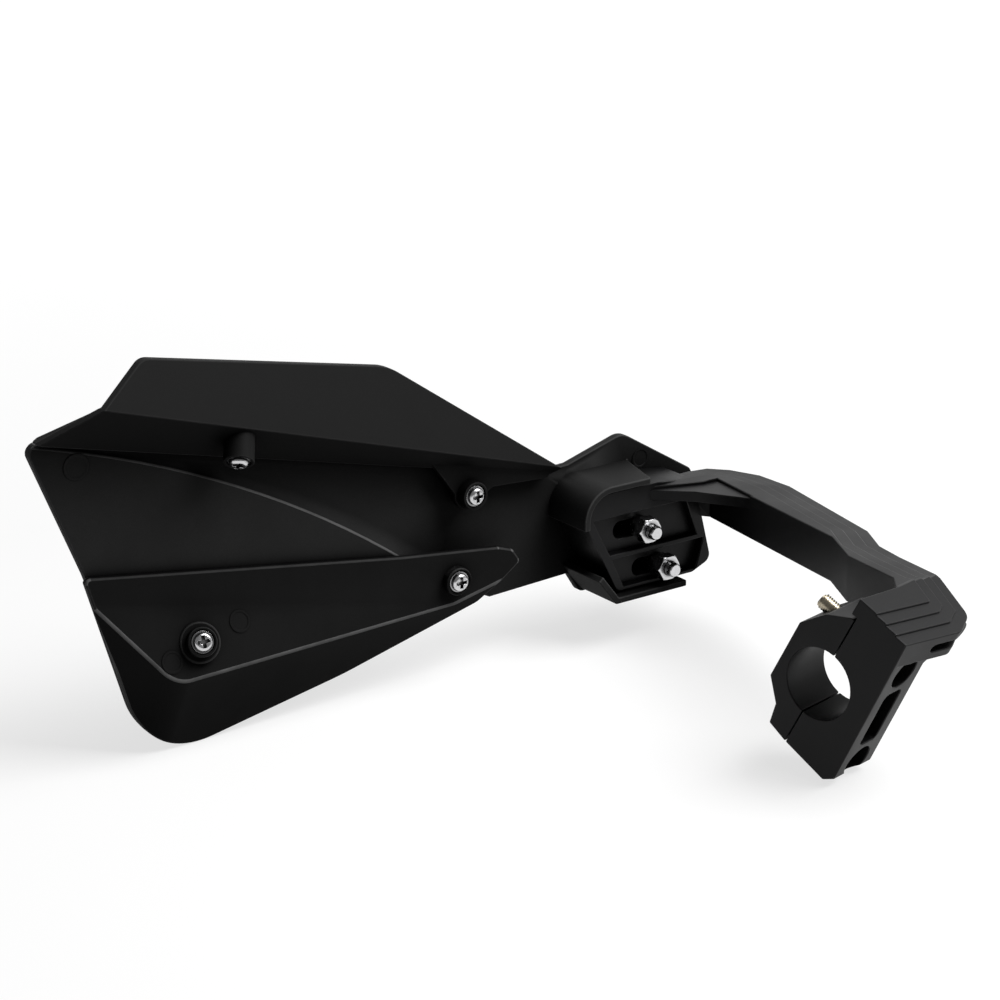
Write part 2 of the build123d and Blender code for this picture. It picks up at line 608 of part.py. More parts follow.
def clamp_cuts():
    """Bore, room for the cap, bolt holes and core pocket, in the clamp's frame."""
    width = CLAMP_WIDTH + 2 * CAP_ROOM
    cuts = Rot(0, 90, 0) * Cylinder(BAR_DIAMETER / 2, width)
    cap_side = (Align.CENTER, Align.MIN, Align.MAX)
    cuts = cuts + Pos(0, -SPLIT_GAP / 2, CAP_TOP + CAP_ROOM) * Box(width, 60, 80, align=cap_side)
    for side in (1, -1):
        axis = Pos(0, -BLOCK_DEPTH, side * CLAMP_BOLT_SPREAD / 2 - CLAMP_BOLT_DROP) * FACING_FORWARD
        cuts = cuts + axis * rod(CLAMP_BOLT_SIZE + HOLE_PLAY, -1, BLOCK_DEPTH + 1)
        cuts = cuts + axis * rod(COUNTERBORE_D, -BLOCK_DEPTH, BLOCK_DEPTH - CLAMP_BOLT_SEAT)
    pocket = RectangleRounded(CORE_POCKET_WIDTH, CORE_POCKET_LENGTH, CORE_POCKET_CORNER)
    pocket = Pos(0, -CLAMP_BOLT_DROP) * pocket
    return cuts + slab(pocket, -BLOCK_DEPTH - 1, -CORE_POCKET_FLOOR)


def end_plate():
    """Plate at the arm's end, in the guard frame."""
    left = SLEEVE_LEFT + SLEEVE_WALL + PLATE_GAP
    top = SLEEVE_TOP - SLEEVE_WALL - PLATE_GAP
    outline = rounded([
        (left, HOOD_DROP, 0), (left, top, SLEEVE_CORNER - SLEEVE_WALL - PLATE_GAP), (HOOD_END, top, 0),
        (PLATE_RIGHT_TOP, WEB_TOP, 0), (PLATE_RIGHT_BOTTOM, PLATE_BOTTOM + PLATE_CUT_Z, PLATE_CORNER),
        (PLATE_RIGHT_BOTTOM - PLATE_CUT_X, PLATE_BOTTOM, PLATE_CORNER),
        (LIP_CORNER_X + SLEEVE_WALL + 0.3, PLATE_BOTTOM, PLATE_CORNER)])
    return slab(outline, -PLATE_DEPTH, 0)


def plate_cuts():
    """Two tracks and the slots in them, in the guard frame."""
    left = SLEEVE_LEFT + SLEEVE_WALL + PLATE_GAP + TRACK_RIM
    right = PLATE_RIGHT_BOTTOM - TRACK_RIM
    low = PLATE_BOTTOM + TRACK_RIM / 2
    upper = Polygon(
        (left, TRACK_TOP), (left + 7, RIDGE_HALF), (right - 4, RIDGE_HALF), (right - 9, TRACK_TOP), align=None)
    lower = Polygon(
        (left + 8, -RIDGE_HALF), (left + 13, low), (right - 4, low), (right - 1, -RIDGE_HALF), align=None)
    cuts = slab(upper + lower, -PLATE_DEPTH - 1, -PLATE_DEPTH + TRACK_DEPTH)
    for x, z in zip(BRACKET_BOLT_X, BRACKET_BOLT_Z):
        middle = x - SLOT_LEAD + SLOT_LENGTH / 2
        cuts = cuts + slab(Pos(middle, z) * SlotOverall(SLOT_LENGTH, SLOT_WIDTH), -PLATE_DEPTH - 1, 1)
    return cuts


def mounting_arm():
    web = GUARD * level(Polygon(*WEB_EDGE, align=None), -BIG / 2, BIG / 2)
    rib = GUARD * level(Polygon(*RIB_EDGE, align=None), -BIG / 2, BIG / 2)
    underside = WEB_DROP + WEB_THICKNESS
    leg = arm_leg()
    for cut in leg_terraces():
        leg = leg - cut
    span = ARM * arm_span() - (web & (ARM * span_profile(-BLOCK_TOP, WEB_DROP)))
    span = span + (rib & (ARM * span_profile(0, underside)))
    for cut in span_terraces():
        span = span - ARM * cut
    span = span + (web & (ARM * span_profile(WEB_DROP, underside)))
    arm = CLAMP * (ARM * leg + clamp_block() - clamp_cuts()) + span + GUARD * end_plate()
    return arm - GUARD * plate_cuts()


def clamp_cap():
    split = SPLIT_GAP / 2
    profile = Polygon(
        (split, -CAP_BOTTOM), (CAP_EAR_DEPTH - 1.2, -CAP_BOTTOM + 1.2), (CAP_EAR_DEPTH, -CAP_EAR_BOTTOM),
        (CAP_DEPTH, -CAP_FLAT_BOTTOM), (CAP_DEPTH, CAP_FLAT_TOP), (CAP_EAR_DEPTH, CAP_EAR_TOP),
        (split + 1, CAP_TOP), (split, CAP_TOP), align=None)
    cap = across(profile, -CLAMP_WIDTH / 2, CLAMP_WIDTH / 2)
    cap = cap - Rot(0, 90, 0) * Cylinder(BAR_DIAMETER / 2, CLAMP_WIDTH + 2)
    for side in (1, -1):
        axis = Pos(0, 0, side * CLAMP_BOLT_SPREAD / 2 - CLAMP_BOLT_DROP) * FACING_FORWARD
        cap = cap - axis * rod(CLAMP_BOLT_SIZE + THREAD_PLAY, 0, 2 * CAP_DEPTH)
    return CLAMP * cap


def clamp_bolt(side, length):
    """Socket-head bolt from the block's counterbore into the cap."""
    body = rod(CLAMP_BOLT_SIZE, 0, length) + rod(CLAMP_BOLT_HEAD_D, -CLAMP_BOLT_HEAD_H, 0)
    socket = RegularPolygon(CLAMP_BOLT_SOCKET / 2, 6, major_radius=False)
    body = body - level(socket, -CLAMP_BOLT_HEAD_H, -CLAMP_BOLT_HEAD_H / 2)
    place = Pos(0, -CLAMP_BOLT_SEAT, side * CLAMP_BOLT_SPREAD / 2 - CLAMP_BOLT_DROP)
    return CLAMP * place * FACING_FORWARD * body


# Bracket hardware, measured from the back wall towards the rider

COLLAR_START = PLATE_DEPTH - TRACK_DEPTH
NUT_START = COLLAR_START + COLLAR_HEIGHT
HEAD_START = -WALL - WASHER_THICKNESS


def bracket_seat(i):
    return GUARD * Pos(BRACKET_BOLT_X[i], 0, BRACKET_BOLT_Z[i]) * FACING_RIDER


def ring(outside, start, end):
    """Flat ring that a bracket bolt passes through freely."""
    return rod(outside, start, end) - rod(BRACKET_BOLT_SIZE + HOLE_PLAY, start - 1, end + 1)


def bracket_bolt(i):
    """Button-head bolt with its head on the shell's outer face."""
    top = HEAD_START - BRACKET_HEAD_H
    head = rod(BRACKET_HEAD_D, top, HEAD_START)
    head = fillet(head.edges().sort_by(Axis.Z)[0], BRACKET_HEAD_H / 2)
    socket = RegularPolygon(BRACKET_SOCKET / 2, 6, major_radius=False)
    head = head - level(socket, top, top + BRACKET_HEAD_H / 2)
    return bracket_seat(i) * (head + rod(BRACKET_BOLT_SIZE, HEAD_START, NUT_START + NUT_HEIGHT + BOLT_END))


def bracket_nut(i):
    """Hexagon nut with its outer corners turned off."""
    end = NUT_START + NUT_HEIGHT
    nut = level(RegularPolygon(NUT_ACROSS_FLATS / 2, 6, major_radius=False), NUT_START, end)
    turned = rod(NUT_ACROSS_FLATS / cos(radians(30)), NUT_START, end)
    nut = nut & chamfer(turned.edges().sort_by(Axis.Z)[-1], NUT_CHAMFER)
    return bracket_seat(i) * (nut - rod(BRACKET_BOLT_SIZE + THREAD_PLAY, NUT_START - 1, end + 1))


PARTS = {
    "main_shell": main_shell(),
    "upper_deflector": upper_deflector(),
    "lower_wing": lower_wing(),
    "mounting_arm": mounting_arm(),
    "clamp_cap": clamp_cap(),
    "clamp_bolt_upper": clamp_bolt(1, UPPER_CLAMP_BOLT_LENGTH),
    "clamp_bolt_lower": clamp_bolt(-1, LOWER_CLAMP_BOLT_LENGTH),
    "deflector_screw_outer": screw("a"),
    "deflector_screw_inner": screw("b"),
    "wing_screw_inner": screw("c"),
    "wing_screw_outer": screw("d"),
}
for i, place in enumerate(("upper", "lower")):
    PARTS["bracket_bolt_" + place] = bracket_bolt(i)
    PARTS["bracket_nut_" + place] = bracket_nut(i)
    PARTS["bracket_collar_" + place] = bracket_seat(i) * ring(COLLAR_D, COLLAR_START, NUT_START)
    PARTS["bracket_washer_" + place] = bracket_seat(i) * ring(WASHER_D, HEAD_START, -WALL)

os.makedirs("parts", exist_ok=True)
for name, shape in PARTS.items():
    export_step(shape, "parts/" + name + ".step")
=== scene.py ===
"""Looks of a motorcycle hand guard: moulded shell, arm and clamp, and zinc-plated hardware.

Lengths are in metres, in the part's own frame: X along the handlebar, Y forward, Z up.
"""

from math import ceil, pi, radians

import bmesh
import bpy
from mathutils import Matrix, Vector


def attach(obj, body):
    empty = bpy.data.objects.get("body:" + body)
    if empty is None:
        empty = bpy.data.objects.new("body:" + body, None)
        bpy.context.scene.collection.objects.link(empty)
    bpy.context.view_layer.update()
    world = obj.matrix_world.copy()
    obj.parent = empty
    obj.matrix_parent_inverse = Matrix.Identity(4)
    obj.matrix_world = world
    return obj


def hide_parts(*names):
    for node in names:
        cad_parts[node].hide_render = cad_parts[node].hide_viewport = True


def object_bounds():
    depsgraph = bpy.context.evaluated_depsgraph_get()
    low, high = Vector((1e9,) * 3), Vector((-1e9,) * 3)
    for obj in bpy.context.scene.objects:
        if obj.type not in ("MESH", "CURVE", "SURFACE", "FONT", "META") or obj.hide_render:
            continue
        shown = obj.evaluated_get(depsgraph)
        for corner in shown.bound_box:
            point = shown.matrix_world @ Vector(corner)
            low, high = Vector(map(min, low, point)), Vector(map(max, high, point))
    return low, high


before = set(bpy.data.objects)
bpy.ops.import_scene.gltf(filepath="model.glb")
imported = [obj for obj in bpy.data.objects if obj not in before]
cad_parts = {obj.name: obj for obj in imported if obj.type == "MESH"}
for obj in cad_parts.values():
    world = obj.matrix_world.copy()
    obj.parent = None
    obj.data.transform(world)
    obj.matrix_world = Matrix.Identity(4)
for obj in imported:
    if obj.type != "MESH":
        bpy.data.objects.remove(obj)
cad_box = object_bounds()

MM = 0.001

# Frames of the guard's sub-parts, as the solids are placed
GUARD_PLACE = (62 * MM, 124 * MM, 0)
GUARD_TURN = radians(-12)
PANEL_PLACE = (-225 * MM, 0, 0)
PANEL_TURN = radians(-3.39)
CLAMP_TILT = radians(27)
GUARD = Matrix.Translation(GUARD_PLACE) @ Matrix.Rotation(GUARD_TURN, 4, "Z")
PANEL = GUARD @ Matrix.Translation(PANEL_PLACE) @ Matrix.Rotation(PANEL_TURN, 4, "Z")
CLAMP = Matrix.Rotation(CLAMP_TILT, 4, "X")
FACING_FORWARD = Matrix.Rotation(-pi / 2, 4, "X")
FACING_RIDER = Matrix.Rotation(pi / 2, 4, "X")

# Camera
LENS_MM = 93.6
SENSOR_MM = 36.0
CAMERA_PLACE = Vector((-0.5904, -0.398, 0.2927))
TO_CAMERA = Vector((-0.7045, -0.6332, 0.3206))

# Edges are rounded by these radii where two faces meet at more than the sharp angle
GUARD_EDGE = 0.45 * MM
WING_EDGE = 0.65 * MM
DEFLECTOR_EDGE = 0.35 * MM
ARM_EDGE = 0.4 * MM
METAL_EDGE = 0.12 * MM
EDGE_SEGMENTS = 3
SHARP_ANGLE = radians(20)
SMOOTH_ANGLE = radians(32)

# Solids are welded and their flat faces joined, but faces of more corners than this are split
WELD_DISTANCE = 0.001 * MM
COPLANAR_ANGLE = radians(0.3)
BROAD_FACE = 90

# Painted highlight on rounded edges: crests bend by less than the step on each side, rims get less
# of it
EDGE_MARK = "painted_edge_highlight"
CREST_STEP = radians(17)
RIM_HIGHLIGHT = 0.25
HIGHLIGHT_PATCH_SCALE = 160.0
HIGHLIGHT_LEAST = 0.35
EDGE_POLISH = 0.75

# Moulded grain
PATCH_SCALE = 45.0
PATCH_LOW, PATCH_HIGH = 0.3, 0.7
GRAIN_DEPTH = 0.05 * MM

# Zinc plate
CLOUD_SCALE = 900.0
CLOUD_BUMP = 0.15
CLOUD_DEPTH = 0.03 * MM

# Painted shade in corners and recesses
SHADE_SAMPLES = 8
SHADE_CONTRAST = 2.0
METAL_SHADE_REACH = 1.5 * MM
PLASTIC_SHADE = (0.001, 0.001, 0.001, 1)
PLASTIC_SHADE_REACH = 30 * MM

# Threads on the bolt ends that show
THREAD_PITCH = 0.8 * MM
THREAD_DEPTH = 0.6 * THREAD_PITCH
THREAD_STEPS = 24
THREAD_WELD = 0.01 * MM
THREAD_LEAD = 0.86
BOLT_RADIUS = 2.5 * MM

# Rings left by ejector pins; their widths are shares of the radius, and the sink one of the height
MARK_HEIGHT = 0.25 * MM
MARK_SEGMENTS = 48
RING_WIDTH = 0.18
RING_SLOPE = 0.08
RING_SINK = 0.7


# Shader node helpers


class Nodes:
    """Short calls for building a node tree."""

    def __init__(self, tree):
        self.tree = tree
        tree.nodes.clear()

    def add(self, kind, values=None, **settings):
        node = self.tree.nodes.new(kind)
        for name, value in settings.items():
            setattr(node, name, value)
        for name, value in (values or {}).items():
            socket = node.inputs[name]
            if isinstance(value, bpy.types.NodeSocket):
                self.tree.links.new(value, socket)
            else:
                socket.default_value = value
        return node

    def math(self, operation, *values):
        return self.add("ShaderNodeMath", dict(enumerate(values)), operation=operation).outputs[0]

    def noise(self, coordinates, scale, detail=2.0, roughness=0.5):
        values = {"Vector": coordinates, "Scale": scale, "Detail": detail, "Roughness": roughness}
        return self.add("ShaderNodeTexNoise", values).outputs["Fac"]

    def between(self, value, low, high):
        """Value from 0 to 1 spread from low to high."""
        values = {"Value": value, "To Min": low, "To Max": high}
        return self.add("ShaderNodeMapRange", values).outputs["Result"]


def node_group(name, inputs, outputs):
    """Empty shader node group with float or colour sockets."""
    group = bpy.data.node_groups.new(name, "ShaderNodeTree")
    for socket, kind, value in inputs:
        made = group.interface.new_socket(socket, in_out="INPUT", socket_type=kind)
        made.default_value = value
    for socket, kind in outputs:
        group.interface.new_socket(socket, in_out="OUTPUT", socket_type=kind)
    nodes = Nodes(group)
    return group, nodes, nodes.add("NodeGroupInput"), nodes.add("NodeGroupOutput")


def make_moulded_grain():
    """Spark-eroded mould grain, with slow patches of sheen and tone."""
    inputs = [
        ("Grain Scale", "NodeSocketFloat", 2600.0),
        ("Tone", "NodeSocketColor", (0.01, 0.01, 0.01, 1)),
        ("Tone Light", "NodeSocketColor", (0.02, 0.02, 0.02, 1)),
        ("Roughness Low", "NodeSocketFloat", 0.4),
        ("Roughness High", "NodeSocketFloat", 0.6),
    ]
    outputs = [
        ("Color", "NodeSocketColor"),
        ("Roughness", "NodeSocketFloat"),
        ("Height", "NodeSocketFloat"),
    ]
    group, nodes, given, made = node_group("moulded_grain", inputs, outputs)
    place = nodes.add("ShaderNodeTexCoord").outputs["Object"]
    fine = nodes.noise(place, given.outputs["Grain Scale"], 2.0, 0.6)
    patches = nodes.noise(place, PATCH_SCALE, 3.0, 0.55)
    tone = nodes.math("MULTIPLY", fine, patches)
    colour = nodes.add(
        "ShaderNodeMix",
        {"Factor": tone, "A": given.outputs["Tone"], "B": given.outputs["Tone Light"]},
        data_type="RGBA",
    )
    spread = nodes.add(
        "ShaderNodeMapRange",
        {
            "Value": patches,
            "From Min": PATCH_LOW,
            "From Max": PATCH_HIGH,
            "To Min": given.outputs["Roughness Low"],
            "To Max": given.outputs["Roughness High"],
        },
    )
    links = nodes.tree.links
    links.new(colour.outputs["Result"], made.inputs["Color"])
    links.new(spread.outputs["Result"], made.inputs["Roughness"])
    links.new(fine, made.inputs["Height"])
    return group


def make_painted_edge_highlights():
    """Painted highlight on rounded edges: a paler colour there, with smoother roughness."""
    inputs = [
        ("Color", "NodeSocketColor", (0.01, 0.01, 0.01, 1)),
        ("Edge Color", "NodeSocketColor", (0.05, 0.05, 0.05, 1)),
        ("Roughness", "NodeSocketFloat", 0.5),
        ("Edge Roughness", "NodeSocketFloat", 0.35),
    ]
    outputs = [("Color", "NodeSocketColor"), ("Roughness", "NodeSocketFloat")]
    group, nodes, given, made = node_group("painted_edge_highlights", inputs, outputs)
    place = nodes.add("ShaderNodeTexCoord").outputs["Object"]
    rounded = nodes.add("ShaderNodeAttribute", attribute_name=EDGE_MARK).outputs["Fac"]
    patchy = nodes.between(nodes.noise(place, HIGHLIGHT_PATCH_SCALE, 3.0), HIGHLIGHT_LEAST, 1.0)
    highlighted = nodes.math("MULTIPLY", rounded, patchy)
    colour = nodes.add(
        "ShaderNodeMix",
        {"Factor": highlighted, "A": given.outputs["Color"], "B": given.outputs["Edge Color"]},
        data_type="RGBA",
    )
    rough = nodes.between(highlighted, given.outputs["Roughness"], given.outputs["Edge Roughness"])
    nodes.tree.links.new(colour.outputs["Result"], made.inputs["Color"])
    nodes.tree.links.new(rough, made.inputs["Roughness"])
    return group


def make_crevice_shade():
    """Painted shade: darker colour deep in corners and recesses."""
    inputs = [
        ("Color", "NodeSocketColor", (0.7, 0.7, 0.7, 1)),
        ("Shade Color", "NodeSocketColor", (0.02, 0.02, 0.02, 1)),
        ("Reach", "NodeSocketFloat", METAL_SHADE_REACH),
    ]
    group, nodes, given, made = node_group("painted_crevice_shade", inputs, [("Color", "NodeSocketColor")])
    reach = {"Distance": given.outputs["Reach"]}
    # Painted shade: how open the surface is to its surroundings sets how dark the colour gets
    openness = nodes.add("ShaderNodeAmbientOcclusion", reach, samples=SHADE_SAMPLES)
    unshaded = nodes.math("POWER", openness.outputs["AO"], SHADE_CONTRAST)
    colour = nodes.add(
        "ShaderNodeMix",
        {"Factor": unshaded, "A": given.outputs["Shade Color"], "B": given.outputs["Color"]},
        data_type="RGBA",
    )
    nodes.tree.links.new(colour.outputs["Result"], made.inputs["Color"])
    return group


def material(name):
    made = bpy.data.materials.new(name)
    made.use_nodes = True
    return made, Nodes(made.node_tree)


def plastic(name, tone, light, edge, roughness, bump, specular, grain_scale):
    """Black moulded plastic with a fine grain, painted highlights on rounded edges and painted
    shade in recesses.
    """
    made, nodes = material(name)
    values = {
        "Grain Scale": grain_scale,
        "Tone": (*tone, 1),
        "Tone Light": (*light, 1),
        "Roughness Low": roughness[0],
        "Roughness High": roughness[1],
    }
    surface = nodes.add("ShaderNodeGroup", node_tree=MOULDED_GRAIN)
    for socket, value in values.items():
        surface.inputs[socket].default_value = value
    # Painted highlight: faces of the edge rounding get the paler edge colour
    edge_lit = nodes.add("ShaderNodeGroup", node_tree=PAINTED_EDGE_HIGHLIGHTS)
    edge_lit.inputs["Edge Color"].default_value = (*edge, 1)
    edge_lit.inputs["Edge Roughness"].default_value = EDGE_POLISH * roughness[0]
    for socket in ("Color", "Roughness"):
        nodes.tree.links.new(surface.outputs[socket], edge_lit.inputs[socket])
    relief = nodes.add(
        "ShaderNodeBump",
        {"Strength": bump, "Distance": GRAIN_DEPTH, "Height": surface.outputs["Height"]},
    )
    # Painted shade: the plastic's colour darkens in recesses and corners, out to the reach
    painted_shade = nodes.add("ShaderNodeGroup", node_tree=CREVICE_SHADE)
    painted_shade.inputs["Shade Color"].default_value = PLASTIC_SHADE
    painted_shade.inputs["Reach"].default_value = PLASTIC_SHADE_REACH
    nodes.tree.links.new(edge_lit.outputs["Color"], painted_shade.inputs["Color"])
    shader = nodes.add(
        "ShaderNodeBsdfPrincipled",
        {
            "Base Color": painted_shade.outputs["Color"],
            "Roughness": edge_lit.outputs["Roughness"],
            "Normal": relief.outputs["Normal"],
            "Specular IOR Level": specular,
        },
    )
    nodes.add("ShaderNodeOutputMaterial", {"Surface": shader.outputs["BSDF"]})
    return made


def plated(name, tone, light, roughness):
    """Zinc plate: bright metal with fine cloudy variation, and painted shade in its crevices."""
    made, nodes = material(name)
    place = nodes.add("ShaderNodeTexCoord").outputs["Object"]
    clouds = nodes.noise(place, CLOUD_SCALE, 4.0, 0.6)
    colour = nodes.add(
        "ShaderNodeMix",
        {"Factor": clouds, "A": (*tone, 1), "B": (*light, 1)},
        data_type="RGBA",
    )
    # Painted shade: the zinc's colour darkens in the small crevices of the hardware
    painted_shade = nodes.add("ShaderNodeGroup", node_tree=CREVICE_SHADE)
    nodes.tree.links.new(colour.outputs["Result"], painted_shade.inputs["Color"])
    relief = nodes.add(
        "ShaderNodeBump",
        {"Strength": CLOUD_BUMP, "Distance": CLOUD_DEPTH, "Height": clouds},
    )
    shader = nodes.add(
        "ShaderNodeBsdfPrincipled",
        {
            "Base Color": painted_shade.outputs["Color"],
            "Metallic": 1.0,
            "Roughness": nodes.between(clouds, *roughness),
            "Normal": relief.outputs["Normal"],
        },
    )
    nodes.add("ShaderNodeOutputMaterial", {"Surface": shader.outputs["BSDF"]})
    return made


MOULDED_GRAIN = make_moulded_grain()
PAINTED_EDGE_HIGHLIGHTS = make_painted_edge_highlights()
CREVICE_SHADE = make_crevice_shade()
# The edge colours are painted highlights along the rounded edges
SHELL_BLACK = plastic(
    "shell_black",
    tone=(0.022, 0.022, 0.022),
    light=(0.047, 0.047, 0.047),
    edge=(0.2, 0.2, 0.2),
    roughness=(0.46, 0.6),
    bump=0.25,
    specular=0.025,
    grain_scale=3200.0,
)
GUARD_BLACK = plastic(
    "guard_black",
    tone=(0.0095, 0.0095, 0.0095),
    light=(0.021, 0.021, 0.021),
    edge=(0.2, 0.2, 0.2),
    roughness=(0.46, 0.6),
    bump=0.25,
    specular=0.025,
    grain_scale=3200.0,
)
ARM_BLACK = plastic(
    "arm_black",
    tone=(0.0045, 0.0045, 0.005),
    light=(0.0095, 0.0095, 0.01),
    edge=(0.09, 0.09, 0.09),
    roughness=(0.38, 0.48),
    bump=0.25,
    specular=0.15,
    grain_scale=4200.0,
)
ZINC = plated("bright_zinc", (0.5, 0.5, 0.51), (0.74, 0.74, 0.75), (0.16, 0.32))
YELLOW_ZINC = plated("yellow_zinc", (0.5, 0.43, 0.31), (0.72, 0.65, 0.5), (0.2, 0.36))


# Pieces


def finished_piece(name, bm, finish):
    """New piece from a bmesh, smooth but for its sharp edges, riding on the guard."""
    mesh = bpy.data.meshes.new(name)
    bm.to_mesh(mesh)
    bm.free()
    mesh.polygons.foreach_set("use_smooth", [True] * len(mesh.polygons))
    mesh.set_sharp_from_angle(angle=SMOOTH_ANGLE)
    mesh.materials.append(finish)
    piece = bpy.data.objects.new(name, mesh)
    bpy.context.scene.collection.objects.link(piece)
    weights = piece.modifiers.new("even_normals", "WEIGHTED_NORMAL")
    weights.keep_sharp = True
    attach(piece, "root")
    return piece


def merged_solid(node):
    """A node's solid as a bmesh of flat faces, with the broad ones split up."""
    bm = bmesh.new()
    bm.from_mesh(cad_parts[node].data)
    bmesh.ops.remove_doubles(bm, verts=bm.verts, dist=WELD_DISTANCE)
    bmesh.ops.dissolve_limit(bm, angle_limit=COPLANAR_ANGLE, verts=bm.verts, edges=bm.edges)
    broad = [face for face in bm.faces if len(face.verts) > BROAD_FACE]
    bmesh.ops.triangulate(bm, faces=broad)
    return bm


def is_outer_edge(edge):
    return edge.is_manifold and edge.calc_face_angle_signed() > SHARP_ANGLE


def round_edges(bm, radius, highlight):
    """Round every outer edge, and mark its rounding with how much painted highlight it gets."""
    # Each rounding face carries the share of painted highlight it gets
    mark = bm.faces.layers.float.new(EDGE_MARK)
    sharp = [edge for edge in bm.edges if is_outer_edge(edge)]
    rounding = bmesh.ops.bevel(
        bm, geom=sharp, offset=radius, offset_type="OFFSET", segments=EDGE_SEGMENTS, profile=0.5,
        affect="EDGES", clamp_overlap=False, material=-1, loop_slide=False)
    for face in rounding["faces"]:
        sides = sorted(face.edges, key=lambda edge: edge.calc_length())[-2:]
        crest = all(side.is_manifold and side.calc_face_angle() < CREST_STEP for side in sides)
        face[mark] = highlight if crest else RIM_HIGHLIGHT * highlight


def dress(node, finish, radius, highlight):
    """Stand a copy with rounded edges in for a node."""
    bm = merged_solid(node)
    round_edges(bm, radius, highlight)
    piece = finished_piece(node + "_finished", bm, finish)
    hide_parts(node)


def cut_off(bm, place, height):
    """Cut a shape square across a frame's Z axis and close the cut."""
    along = place.to_3x3() @ Vector((0, 0, 1))
    whole = bm.verts[:] + bm.edges[:] + bm.faces[:]
    cut = bmesh.ops.bisect_plane(
        bm, geom=whole, plane_co=place @ Vector((0, 0, height)), plane_no=along, clear_outer=True)
    rim = [part for part in cut["geom_cut"] if isinstance(part, bmesh.types.BMEdge)]
    bmesh.ops.contextual_create(bm, geom=rim)


def threaded_end(place, start, end):
    """Threaded end of a bolt, from start to end along a frame's Z axis."""
    bm = bmesh.new()
    root = BOLT_RADIUS - THREAD_DEPTH
    half = THREAD_PITCH / 2
    corners = ((root, start - THREAD_PITCH), (BOLT_RADIUS, start - half), (root, start))
    tooth = [bm.verts.new((reach, 0, height)) for reach, height in corners]
    sides = [bm.edges.new(pair) for pair in zip(tooth, tooth[1:])]
    turns = ceil((end - start) / THREAD_PITCH) + 2
    bmesh.ops.spin(
        bm, geom=tooth + sides, cent=(0, 0, 0), axis=(0, 0, 1),
        dvec=(0, 0, THREAD_PITCH / THREAD_STEPS), angle=2 * pi * turns, steps=THREAD_STEPS * turns)
    bmesh.ops.remove_doubles(bm, verts=bm.verts, dist=THREAD_WELD)
    flip = Matrix.Rotation(pi, 4, "X")
    cut_off(bm, flip, -start)
    cut_off(bm, Matrix.Identity(4), end)
    lead = [vert for vert in bm.verts if vert.co.z > end - half]
    bmesh.ops.scale(bm, vec=(THREAD_LEAD, THREAD_LEAD, 1), verts=lead)
    bmesh.ops.recalc_face_normals(bm, faces=bm.faces)
    bmesh.ops.transform(bm, matrix=place, verts=bm.verts)
    mesh = bpy.data.meshes.new("thread")
    bm.to_mesh(mesh)
    bm.free()
    return mesh


def dress_threaded(node, finish, place, start, end):
    """Stand a bolt with a threaded end in for a node with a plain one."""
    bm = merged_solid(node)
    cut_off(bm, place, start + THREAD_PITCH / 4)
    round_edges(bm, METAL_EDGE, 0.0)
    thread = threaded_end(place, start, end)
    bm.from_mesh(thread)
    bpy.data.meshes.remove(thread)
    piece = finished_piece(node + "_finished", bm, finish)
    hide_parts(node)


def ejector_mark(name, place, radius, finish):
    """Low ring that a mould's ejector pin leaves, on a face looking along the frame's Z axis."""
    bm = bmesh.new()
    bmesh.ops.create_circle(bm, cap_ends=True, segments=MARK_SEGMENTS, radius=radius)
    raised = bmesh.ops.extrude_face_region(bm, geom=bm.faces[:])
    lifted = [part for part in raised["geom"] if isinstance(part, bmesh.types.BMVert)]
    top = [part for part in raised["geom"] if isinstance(part, bmesh.types.BMFace)]
    bmesh.ops.translate(bm, vec=(0, 0, MARK_HEIGHT), verts=lifted)
    bmesh.ops.inset_region(bm, faces=top, thickness=RING_WIDTH * radius, depth=0)
    sink = RING_SINK * MARK_HEIGHT
    bmesh.ops.inset_region(bm, faces=top, thickness=RING_SLOPE * radius, depth=-sink)
    bmesh.ops.recalc_face_normals(bm, faces=bm.faces)
    bmesh.ops.transform(bm, matrix=place, verts=bm.verts)
    finished_piece(name, bm, finish)


# Plastic pieces: slot, finish, radius of the edges and how much painted highlight these get
for node, slot, finish, radius, highlight in (
    ("main_shell", "shell_plastic", SHELL_BLACK, GUARD_EDGE, 0.9),
    ("upper_deflector", "deflector_plastic", GUARD_BLACK, DEFLECTOR_EDGE, 0.35),
    ("lower_wing", "wing_plastic", GUARD_BLACK, WING_EDGE, 0.9),
    ("mounting_arm", "arm_plastic", ARM_BLACK, ARM_EDGE, 0.6),
    ("clamp_cap", "arm_plastic", ARM_BLACK, ARM_EDGE, 0.6),
):
    dress(node, finish, radius, highlight)

# Bolts with a threaded end: frame with Z out of the end, and where the thread starts and stops
UPPER_CLAMP_BOLT = CLAMP @ Matrix.Translation((0, -7.5 * MM, 16.7 * MM)) @ FACING_FORWARD
UPPER_BRACKET_BOLT = GUARD @ Matrix.Translation((-12.7 * MM, 0, 7.8 * MM)) @ FACING_RIDER
LOWER_BRACKET_BOLT = GUARD @ Matrix.Translation((-4.4 * MM, 0, -7 * MM)) @ FACING_RIDER
CLAMP_THREAD = (15 * MM, 23 * MM)
BRACKET_THREAD = (20.5 * MM, 24 * MM)
THREADED = {
    "bracket_bolt_upper": (ZINC, UPPER_BRACKET_BOLT, *BRACKET_THREAD),
    "bracket_bolt_lower": (ZINC, LOWER_BRACKET_BOLT, *BRACKET_THREAD),
    "clamp_bolt_upper": (YELLOW_ZINC, UPPER_CLAMP_BOLT, *CLAMP_THREAD),
}
for node, (finish, place, start, end) in THREADED.items():
    dress_threaded(node, finish, place, start, end)

PLAIN_HARDWARE = (
    "bracket_nut",
    "bracket_collar",
    "bracket_washer",
    "deflector_screw",
    "wing_screw",
)
for node in sorted(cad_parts):
    if node.startswith(PLAIN_HARDWARE):
        dress(node, ZINC, METAL_EDGE, 0.0)
dress("clamp_bolt_lower", YELLOW_ZINC, METAL_EDGE, 0.0)

